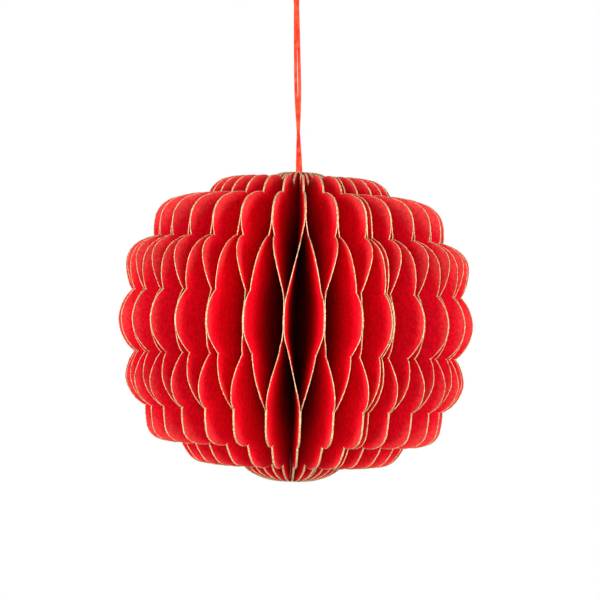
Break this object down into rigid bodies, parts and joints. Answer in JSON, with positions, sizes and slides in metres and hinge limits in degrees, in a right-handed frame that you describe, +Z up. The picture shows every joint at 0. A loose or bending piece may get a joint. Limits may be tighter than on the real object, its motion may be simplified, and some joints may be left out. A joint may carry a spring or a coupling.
{
  "type": "kusudama paper ball",
  "caption": "Round honeycomb ball of scalloped red paper leaves with gold glitter edges, hung on a doubled cord as a festive ornament.",
  "frame": {"origin": "centre of the ball, on the spine, halfway between the lowest and the highest paper edge", "axes": "+Z up the spine towards the cord, -Y is the front that the picture shows, +X is to the right"},
  "size_m": [0.1504, 0.1503, 0.2217],
  "materials": {
    "red_paper": "matte handmade paper, gold glitter on the cut edge",
    "binding_thread": "matte",
    "braided_cord": "satin"
  },
  "bodies": {
    "root": {"paper_leaf_01": "red_paper", "paper_leaf_02": "red_paper", "paper_leaf_03": "red_paper", "paper_leaf_04": "red_paper", "paper_leaf_05": "red_paper", "paper_leaf_06": "red_paper", "paper_leaf_07": "red_paper", "paper_leaf_08": "red_paper", "paper_leaf_09": "red_paper", "paper_leaf_10": "red_paper", "paper_leaf_11": "red_paper", "paper_leaf_12": "red_paper", "paper_leaf_13": "red_paper", "paper_leaf_14": "red_paper", "paper_leaf_15": "red_paper", "paper_leaf_16": "red_paper", "paper_leaf_17": "red_paper", "paper_leaf_18": "red_paper", "paper_leaf_19": "red_paper", "paper_leaf_20": "red_paper", "paper_leaf_21": "red_paper", "paper_leaf_22": "red_paper", "paper_leaf_23": "red_paper", "paper_leaf_24": "red_paper", "paper_leaf_25": "red_paper", "paper_leaf_26": "red_paper", "paper_leaf_27": "red_paper", "paper_leaf_28": "red_paper", "paper_leaf_29": "red_paper", "paper_leaf_30": "red_paper", "paper_leaf_31": "red_paper", "paper_leaf_32": "red_paper", "paper_leaf_33": "red_paper", "paper_leaf_34": "red_paper", "paper_leaf_35": "red_paper", "paper_leaf_36": "red_paper", "paper_leaf_37": "red_paper", "paper_leaf_38": "red_paper", "paper_leaf_39": "red_paper", "paper_leaf_40": "red_paper", "paper_leaf_41": "red_paper", "paper_leaf_42": "red_paper", "paper_leaf_43": "red_paper", "paper_leaf_44": "red_paper", "paper_leaf_45": "red_paper", "paper_leaf_46": "red_paper", "paper_leaf_47": "red_paper", "paper_leaf_48": "red_paper", "paper_leaf_49": "red_paper", "paper_leaf_50": "red_paper", "paper_leaf_51": "red_paper", "paper_leaf_52": "red_paper", "paper_leaf_53": "red_paper", "paper_leaf_54": "red_paper", "paper_leaf_55": "red_paper", "paper_leaf_56": "red_paper", "paper_leaf_57": "red_paper", "spine_thread": "binding_thread", "hanging_cord": "braided_cord", "cord_knot": "braided_cord"}
  },
  "joints": []
}
